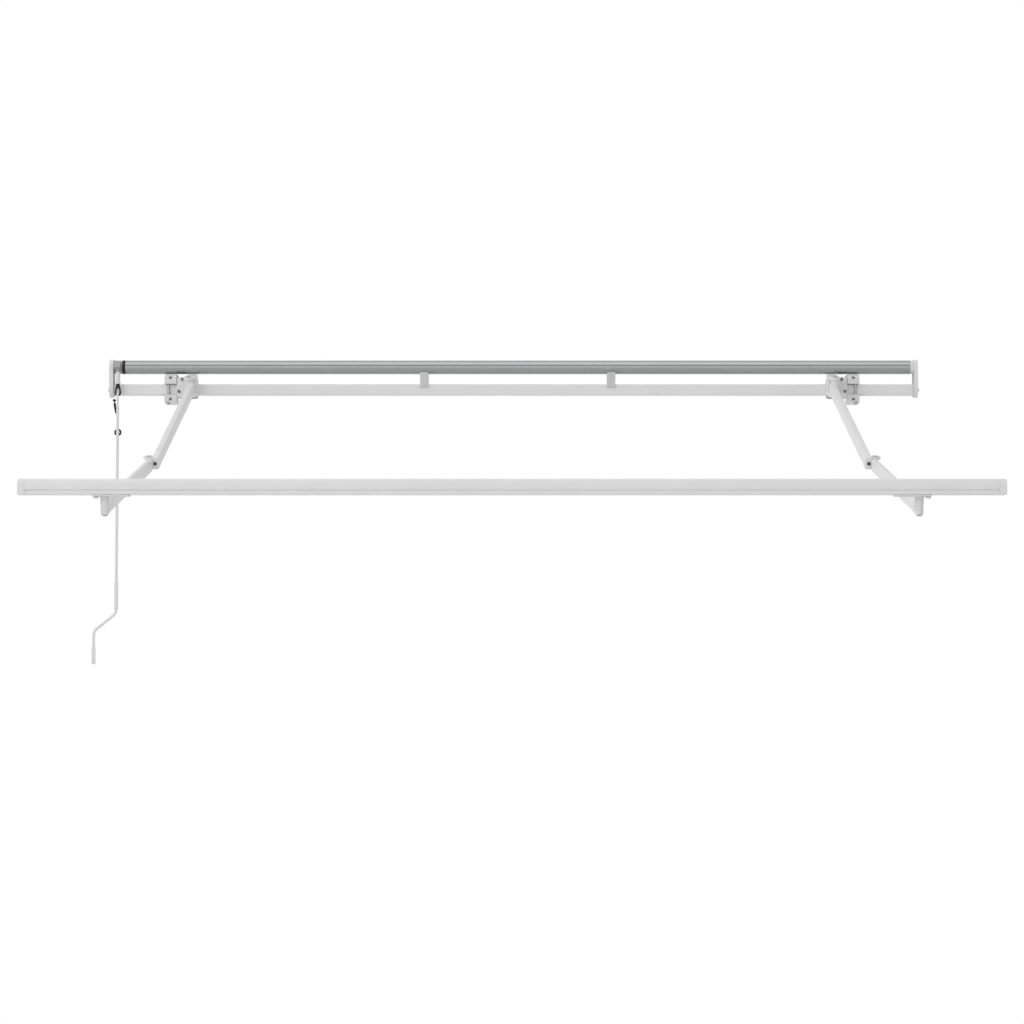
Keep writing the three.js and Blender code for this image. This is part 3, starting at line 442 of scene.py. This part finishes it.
def finished_copy(node_name):
    """A node's own shape with its facets joined, its round faces smoothed and its edges broken."""
    mesh = frame["nodes"][node_name].data.copy()
    work = bmesh.new()
    work.from_mesh(mesh)
    bmesh.ops.remove_doubles(work, verts=work.verts, dist=MERGE_DISTANCE)
    bmesh.ops.dissolve_limit(work, angle_limit=FLAT_ANGLE, verts=work.verts, edges=work.edges)
    work.to_mesh(mesh)
    work.free()
    stored_normals = mesh.attributes.get("custom_normal")
    if stored_normals is not None:
        mesh.attributes.remove(stored_normals)
    piece = link_mesh(node_name + "_finished", mesh)
    if node_name in CAP_SIDE:
        round_outer_face(piece, CAP_SIDE[node_name])
    edges = piece.modifiers.new("broken_edges", "BEVEL")
    edges.width = TURNING_EDGE if node_name in TURNING_PIECES else EDGE_ROUND
    edges.segments = EDGE_SEGMENTS
    edges.limit_method = "ANGLE"
    edges.angle_limit = EDGE_ANGLE
    edges.use_clamp_overlap = True
    normals = piece.modifiers.new("even_faces", "WEIGHTED_NORMAL")
    normals.keep_sharp = True
    fit_piece(piece, node_name)


def grid_faces(rows, columns):
    """Quads of a grid of rows by columns, joined round from the last column to the first."""
    row, column = np.meshgrid(np.arange(rows - 1), np.arange(columns), indexing="ij")
    near = row * columns + column
    beside = row * columns + (column + 1) % columns
    return np.stack([near, beside, beside + columns, near + columns], -1).reshape(-1, 4)


def grid_mesh(name, points, ends=False, close=False):
    """A mesh from points of rows by columns by three, wrapped round its columns.
    Its ends are closed by flat faces, or its last row runs back to its first."""
    rows, columns = points.shape[:2]
    if close:
        points = np.concatenate([points, points[:1]])
        rows += 1
    faces = grid_faces(rows, columns).tolist()
    if ends:
        faces.append(list(range(columns))[::-1])
        faces.append(list(range((rows - 1) * columns, rows * columns)))
    mesh = bpy.data.meshes.new(name)
    mesh.from_pydata(points.reshape(-1, 3).tolist(), [], faces)
    work = bmesh.new()
    work.from_mesh(mesh)
    bmesh.ops.remove_doubles(work, verts=work.verts, dist=MERGE_DISTANCE)
    bmesh.ops.recalc_face_normals(work, faces=work.faces)
    work.to_mesh(mesh)
    work.free()
    return mesh


def join_meshes(name, *meshes):
    """One mesh that holds several closed bodies."""
    work = bmesh.new()
    for mesh in meshes:
        work.from_mesh(mesh)
    whole = bpy.data.meshes.new(name)
    work.to_mesh(whole)
    work.free()
    return whole


def wire_mesh(name, path, radius, reference, sides):
    """A round bar along a path: at each point a circle of the bar's radius stands square to the path.
    The circle's first direction is the reference with its share along the path taken out."""
    path = np.asarray(path, float)
    reference = np.asarray(reference, float)
    along = np.gradient(path, axis=0)
    along /= np.linalg.norm(along, axis=1, keepdims=True)
    side = reference - (along @ reference)[:, None] * along
    side /= np.linalg.norm(side, axis=1, keepdims=True)
    up = np.cross(along, side)
    turn = np.linspace(0, 2 * np.pi, sides, endpoint=False)
    circle = np.cos(turn)[None, :, None] * side[:, None] + np.sin(turn)[None, :, None] * up[:, None]
    return grid_mesh(name, path[:, None] + radius * circle, ends=True)


def turned_mesh(name, profile, centre, sides, close=False, axis=(0, 0, 1)):
    """A profile of radius and height turned about an axis.
    The radius times the cosine runs along one direction square to the axis, the radius times the sine
    along the other, and the height along the axis."""
    profile = np.asarray(profile, float)
    axis = np.asarray(axis, float)
    across = np.cross(axis, (0, 1, 0))
    across /= np.linalg.norm(across)
    turn = np.linspace(0, 2 * np.pi, sides, endpoint=False)[:, None]
    ring = np.cos(turn) * across + np.sin(turn) * np.cross(axis, across)
    points = profile[:, :1, None] * ring[None] + profile[:, 1:, None] * axis
    return grid_mesh(name, points + np.asarray(centre, float), close=close)


def bezier(a, b, c, d, steps):
    """Points of a cubic curve: the four points weighed by the cubic Bernstein shares."""
    t = np.linspace(0, 1, steps)[:, None]
    return (1 - t) ** 3 * a + 3 * (1 - t) ** 2 * t * b + 3 * (1 - t) * t ** 2 * c + t ** 3 * d


def corner_curve(start, corner, end, steps):
    """Points of a bend from one straight to another: a quadratic curve with the corner as its handle."""
    t = np.linspace(0, 1, steps)[:, None]
    return (1 - t) ** 2 * start + 2 * (1 - t) * t * corner + t ** 2 * end


def joined_path(*stretches):
    """Stretches of a path end to end, each without the point that it shares with the one before."""
    return np.concatenate([stretches[0], *(stretch[1:] for stretch in stretches[1:])])


def lip(inner, outer, low, high, size):
    """Profile of a sleeve whose ends are rounded by quarter circles of the given size."""
    turn = np.linspace(0, np.pi / 2, LIP_STEPS)
    foot = np.stack([outer - size + size * np.sin(turn), low + size - size * np.cos(turn)], -1)
    head = np.stack([outer - size + size * np.cos(turn), high - size + size * np.sin(turn)], -1)
    return np.concatenate([[[inner, low]], foot, head, [[inner, high]]])


def oval(radius, low, high, steps):
    """Profile of an ellipsoid: over half a turn, the cosine gives its radius and the sine its height."""
    turn = np.linspace(-np.pi / 2, np.pi / 2, steps)
    return np.stack([np.cos(turn) * radius, low + (high - low) * (np.sin(turn) + 1) / 2], -1)


rod_low, rod_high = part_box("crank_rod")
eye_low, eye_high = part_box("gear_eye")
crank_x = rod_high.x - ROD_RADIUS
crank_y = (rod_low.y + rod_high.y) / 2
rod_top = rod_high.z
eye_wire_z = rod_top + HOOK_LEG


def at(x, y, z):
    """A point beside the crank's hanging axis, at a height."""
    return np.array([crank_x + x, crank_y + y, z])


def make_crank_rod():
    """The rod: two upright stretches and a slanting one between them, joined by two quadratic bends."""
    throw = rod_high.x - rod_low.x - 2 * ROD_RADIUS
    bend_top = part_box("upper_grip")[0].z - GAP - BEND_RADIUS
    bend_low = rod_low.z + HANDLE_LENGTH
    upper = at(0, 0, bend_top)
    lower = at(-throw, 0, bend_low)
    slant = (lower - upper) / np.linalg.norm(lower - upper) * BEND_RADIUS
    rise = np.array([0, 0, BEND_RADIUS])
    path = joined_path(
        np.linspace(at(0, 0, rod_top), upper + rise, num=40),
        corner_curve(upper + rise, upper, upper + slant, steps=12),
        np.linspace(upper + slant, lower - slant, num=8),
        corner_curve(lower - slant, lower, lower - rise, steps=12),
        np.linspace(lower - rise, at(-throw, 0, rod_low.z), num=8),
    )
    mesh = wire_mesh("crank_rod_bar", path, ROD_RADIUS, (0, 1, 0), sides=32)
    fit_piece(link_mesh("crank_rod_bar", mesh), "crank_rod")


def make_gear_eye():
    """The eye: a pear-shaped loop of wire from cubic curves, on a short round shaft.
    A long ellipsoid between the loop's upper ends is the weld that closes it."""
    reach = (eye_high.x - eye_low.x) / 2 - EYE_WIRE / 2
    top = eye_high.z - EYE_SHAFT_DEPTH - GAP
    low = eye_wire_z + reach
    shoulder = low + (top - low) / 2
    start = (EYE_WIRE + GAP) / 2
    pull = reach * QUARTER_PULL
    half = joined_path(
        bezier(
            at(start, 0, top), at(start, 0, shoulder),
            at(reach, 0, shoulder), at(reach, 0, low), steps=20,
        ),
        bezier(
            at(reach, 0, low), at(reach, 0, low - pull),
            at(pull, 0, eye_wire_z), at(0, 0, eye_wire_z), steps=14,
        ),
    )
    other = half[::-1].copy()
    other[:, 0] = 2 * crank_x - other[:, 0]
    loop = wire_mesh("eye_loop", joined_path(half, other), EYE_WIRE / 2, (0, 1, 0), sides=20)
    axis_foot = (crank_x, crank_y, 0)
    stem = lip(0, EYE_SHAFT_RADIUS, top - EYE_WIRE, eye_high.z, EYE_SHAFT_LIP)
    shaft = turned_mesh("eye_shaft", stem, axis_foot, sides=28)
    drop = oval(EYE_SHAFT_RADIUS, shoulder, top, steps=25)
    weld = turned_mesh("eye_weld", drop, axis_foot, sides=28)
    mesh = join_meshes("gear_eye_loop", loop, shaft, weld)
    fit_piece(link_mesh("gear_eye_loop", mesh), "gear_eye")


def make_crank_hook():
    """The hook: cubic curves that lead a wire out of the rod's top, up in front of the eye's wire,
    round it and down to a short bent tip."""
    radius = EYE_WIRE / 2 + RUNNING_GAP + HOOK_WIRE / 2
    pull = radius * QUARTER_PULL
    level = eye_wire_z
    crown = level + radius
    bow = level - HOOK_BOW
    tip = level - HOOK_TIP_DROP
    path = joined_path(
        np.linspace(at(0, 0, rod_top - HOOK_SOCKET + GAP), at(0, 0, rod_top), num=4),
        bezier(
            at(0, 0, rod_top), at(0, 0, bow),
            at(0, -radius, bow), at(0, -radius, level), steps=30,
        ),
        bezier(
            at(0, -radius, level), at(0, -radius, level + pull),
            at(0, -pull, crown), at(0, 0, crown), steps=12,
        ),
        bezier(
            at(0, 0, crown), at(0, pull, crown),
            at(0, radius, level + pull), at(0, radius, level), steps=12,
        ),
        bezier(
            at(0, radius, level), at(0, radius, level - pull),
            at(-HOOK_TIP_SIDE / 2, radius, tip), at(-HOOK_TIP_SIDE, HOOK_TIP_BACK, tip), steps=14,
        ),
    )
    mesh = wire_mesh("crank_hook_bar", path, HOOK_WIRE / 2, (1, 0, 0), sides=24)
    fit_piece(link_mesh("crank_hook_bar", mesh), "crank_hook")


def make_hook_latch():
    """The latch: a flattened ball by the hook's tip, and a blade turned about the line to its foot.
    The blade's radius widens from a neck, stays even, and narrows to its tip beside the rod, and each
    radius is the mean of its neighbours, so that the corners are soft."""
    drop = HOOK_TIP_DROP + HOOK_WIRE / 2 + LATCH_HEAD + GAP
    head = at(-LATCH_SIDE, HOOK_TIP_BACK, eye_wire_z - drop)
    foot = at(-ROD_RADIUS - LATCH_TIP - GAP, 0, rod_top - LATCH_FOOT)
    length = np.linalg.norm(foot - head)
    top = LATCH_HEAD + LATCH_NECK_LENGTH
    heights = np.linspace(0, length, LATCH_STEPS)
    knots = [0, top, top + LATCH_BLADE, length / 2, length]
    radii = np.interp(heights, knots, [LATCH_NECK, LATCH_NECK, LATCH_BLADE, LATCH_BLADE, LATCH_TIP])
    margin = LATCH_AVERAGED // 2
    radii[margin:-margin] = np.convolve(radii, np.ones(LATCH_AVERAGED) / LATCH_AVERAGED, "valid")
    profile = np.stack([radii, heights], -1)
    profile = np.concatenate([[[0, 0]], profile, [[0, length]]])
    blade = turned_mesh("latch_blade", profile, head, sides=24, axis=(foot - head) / length)
    knob = oval(LATCH_KNOB, -LATCH_HEAD, LATCH_HEAD, steps=17)
    ball = turned_mesh("latch_ball", knob, head, sides=28)
    mesh = join_meshes("hook_latch_moulding", blade, ball)
    fit_piece(link_mesh("hook_latch_moulding", mesh), "hook_latch")


def make_rod_clip():
    """The clip: a ring whose section circle is carried round an upright circle, with a flat bridge."""
    low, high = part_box("rod_clip")
    reach = (high.x - low.x) / 2 - CLIP_WIRE_RADIUS
    middle = np.array([crank_x, low.y + CLIP_WIRE_RADIUS, (low.z + high.z) / 2])
    around = np.linspace(0, 2 * np.pi, CLIP_STEPS, endpoint=False)[:, None, None]
    across = np.linspace(0, 2 * np.pi, CLIP_SIDES, endpoint=False)[None, :, None]
    out = np.cos(around) * np.array([1.0, 0, 0]) + np.sin(around) * np.array([0, 0, 1.0])
    ring = (reach + CLIP_WIRE_RADIUS * np.cos(across)) * out
    depth = CLIP_WIRE_RADIUS * np.sin(across) * np.array([0, 1.0, 0])
    hoop = grid_mesh("clip_ring", middle + ring + depth, close=True)
    section = np.array([[-1, 0], [1, 0], [1, 1], [-1, 1]]) * (ROD_RADIUS, CLIP_BRIDGE)
    ends = np.array([low.z + CLIP_WIRE_RADIUS, high.z - CLIP_WIRE_RADIUS])
    corners = np.zeros((2, 4, 3))
    corners[:, :, 0] = crank_x + section[:, 0]
    corners[:, :, 1] = low.y + section[:, 1]
    corners[:, :, 2] = ends[:, None]
    bridge = grid_mesh("clip_bridge", corners, ends=True)
    mesh = join_meshes("rod_clip_ring", hoop, bridge)
    fit_piece(link_mesh("rod_clip_ring", mesh), "rod_clip")


def make_grips():
    """The grips: a sleeve above the bend, and a closed cap with a domed end on the handle."""
    bore = ROD_RADIUS + GAP
    low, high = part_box("upper_grip")
    outer = (high.x - low.x) / 2
    sleeve = lip(bore, outer, low.z, high.z, GRIP_LIP)
    mesh = turned_mesh("upper_grip_sleeve", sleeve, (crank_x, crank_y, 0), sides=48, close=True)
    fit_piece(link_mesh("upper_grip_sleeve", mesh), "upper_grip")
    low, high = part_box("lower_grip")
    outer = (high.x - low.x) / 2
    turn = np.linspace(0, np.pi / 2, DOME_STEPS)
    dome = np.stack([outer * np.sin(turn), low.z + GRIP_CAP * (1 - np.cos(turn))], -1)
    rim = lip(bore, outer, low.z, high.z, GRIP_LIP)[1 + LIP_STEPS:]
    seat = [[bore, low.z + GRIP_CAP], [0, low.z + GRIP_CAP]]
    profile = np.concatenate([dome, rim, seat])
    mesh = turned_mesh("lower_grip_cap", profile, ((low.x + high.x) / 2, crank_y, 0), sides=48)
    fit_piece(link_mesh("lower_grip_cap", mesh), "lower_grip")


def make_arm_spring(side):
    """The spring in an upper arm: a helix of round wire about the middle line of the arm's tube."""
    name = side + "_arm_spring"
    points = mesh_points(frame["nodes"][name].data)
    centre = points.mean(0)
    along = np.linalg.svd(points - centre, full_matrices=False)[2][0]
    reach = (points - centre) @ along
    radius = np.linalg.norm(points - centre - reach[:, None] * along, axis=1).max() - SPRING_WIRE_RADIUS
    across = np.array([1.0, 0, 0])
    up = np.cross(along, across)
    length = reach.max() - reach.min() - 2 * SPRING_WIRE_RADIUS
    turns = length / SPRING_PITCH
    t = np.linspace(0, 1, int(turns * SPRING_STEPS))[:, None]
    angle = 2 * np.pi * turns * t
    coil = radius * (np.cos(angle) * across + np.sin(angle) * up)
    path = centre + (reach.min() + SPRING_WIRE_RADIUS + length * t) * along + coil
    mesh = wire_mesh(name + "_coil", path, SPRING_WIRE_RADIUS, along, sides=8)
    fit_piece(link_mesh(name + "_coil", mesh), name)


make_crank_rod()
make_gear_eye()
make_crank_hook()
make_hook_latch()
make_rod_clip()
make_grips()
for arm_side in ("left", "right"):
    make_arm_spring(arm_side)

stood_for = {name for piece in bpy.data.objects for name in piece.get("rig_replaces", [])}
for left_over in sorted(set(frame["nodes"]) - stood_for):
    finished_copy(left_over)


def make_camera():
    """The photograph's viewpoint: in front, below the frame, with a long lens."""
    camera = bpy.data.cameras.new("camera")
    camera.lens = CAMERA_LENS
    camera.sensor_width = SENSOR_WIDTH
    camera.clip_end = CAMERA_REACH
    holder = bpy.data.objects.new("camera", camera)
    holder.location = CAMERA_PLACE
    holder.rotation_euler = (math.pi / 2 + CAMERA_TILT, 0, 0)
    bpy.context.scene.collection.objects.link(holder)
    bpy.context.scene.camera = holder


def make_floor():
    """A pale round floor under the awning that fades out into the white surround."""
    turn = np.linspace(0, 2 * np.pi, FLOOR_SIDES, endpoint=False)
    ring = np.stack([np.cos(turn), np.sin(turn), np.zeros(FLOOR_SIDES)], -1) * FLOOR_RADIUS
    rim = ring + np.array([0, FLOOR_CENTRE, FLOOR_HEIGHT])
    mesh = bpy.data.meshes.new("floor")
    mesh.from_pydata(rim.tolist(), [], [list(range(FLOOR_SIDES))])
    floor = bpy.data.objects.new("floor", mesh)
    bpy.context.scene.collection.objects.link(floor)
    material, tree, shader, place = new_material("pale_floor")
    shift = {"Vector": place, "Location": (0, -FLOOR_CENTRE, -FLOOR_HEIGHT)}
    centred = node(tree, "ShaderNodeMapping", shift).outputs["Vector"]
    reach = node(tree, "ShaderNodeVectorMath", {0: centred}, operation="LENGTH").outputs["Value"]
    fade = spread(tree, reach, low=0.0, high=1.0, start=FLOOR_FADE, end=FLOOR_RADIUS)
    clouds = noise(tree, place, scale=3, detail=3)
    feed(tree, shader, {"Base Color": tint(tree, clouds, grey(0.6), grey(0.63)), "Roughness": 0.8})
    clear = node(tree, "ShaderNodeBsdfTransparent")
    mixed = node(tree, "ShaderNodeMixShader", {"Fac": fade, 1: shader.outputs[0], 2: clear.outputs[0]})
    tree.links.new(mixed.outputs[0], tree.nodes["Material Output"].inputs["Surface"])
    mesh.materials.append(material)


def make_surround():
    """A white surround that lights the frame more from above than from below, and more from the left."""
    world = bpy.data.worlds.new("surround")
    bpy.context.scene.world = world
    world.use_nodes = True
    tree = world.node_tree
    place = node(tree, "ShaderNodeTexCoord").outputs["Generated"]
    direction = node(tree, "ShaderNodeSeparateXYZ", {"Vector": place}).outputs
    height_share = spread(tree, direction["Z"], low=0.0, high=1.0, start=-1.0)
    across = spread(tree, direction["X"], low=SURROUND_LEFT, high=SURROUND_RIGHT, start=-1.0)
    ramp = node(tree, "ShaderNodeValToRGB", {"Fac": height_share})
    ramp.color_ramp.elements[0].color = (*grey(SURROUND_BELOW), 1)
    ramp.color_ramp.elements[1].color = (*grey(SURROUND_ABOVE), 1)
    for share, value in SURROUND_LIGHT.items():
        ramp.color_ramp.elements.new(share).color = (*grey(value), 1)
    shaded = mix(tree, 1.0, ramp.outputs["Color"], across, data_type="RGBA", blend_type="MULTIPLY")
    seen = node(tree, "ShaderNodeLightPath").outputs["Is Camera Ray"]
    colour = mix(tree, seen, shaded, (1, 1, 1, 1), data_type="RGBA")
    feed(tree, tree.nodes["Background"], {"Color": colour, "Strength": 1.0})


def soft_light(name, place, aim, side, power, mirrored=True, scattered=True):
    """A square light turned towards a point, which bright metal may mirror and dull coats scatter."""
    lamp = bpy.data.lights.new(name, "AREA")
    lamp.energy = power
    lamp.size = side
    holder = bpy.data.objects.new(name, lamp)
    holder.location = place
    holder.rotation_euler = (Vector(aim) - Vector(place)).to_track_quat("-Z", "Y").to_euler()
    holder.visible_glossy = mirrored
    holder.visible_diffuse = scattered
    bpy.context.scene.collection.objects.link(holder)


def bounce_light(name, place, side, power):
    """A low light that shines straight up, as light thrown back by a floor does, and isn't mirrored."""
    soft_light(name, (0, place, BOUNCE_HEIGHT), (0, place, 0), side, power, mirrored=False)


make_camera()
make_floor()
make_surround()
soft_light("key_light", KEY_PLACE, KEY_AIM, KEY_SIDE, KEY_POWER)
soft_light("roller_sheen", SHEEN_PLACE, SHEEN_AIM, SHEEN_SIDE, SHEEN_POWER, scattered=False)
bounce_light("floor_bounce", FLOOR_BOUNCE_PLACE, FLOOR_BOUNCE_SIDE, FLOOR_BOUNCE_POWER)
bounce_light("wall_bounce", WALL_BOUNCE_PLACE, WALL_BOUNCE_SIDE, WALL_BOUNCE_POWER)
bpy.context.scene.view_settings.view_transform = "Standard"
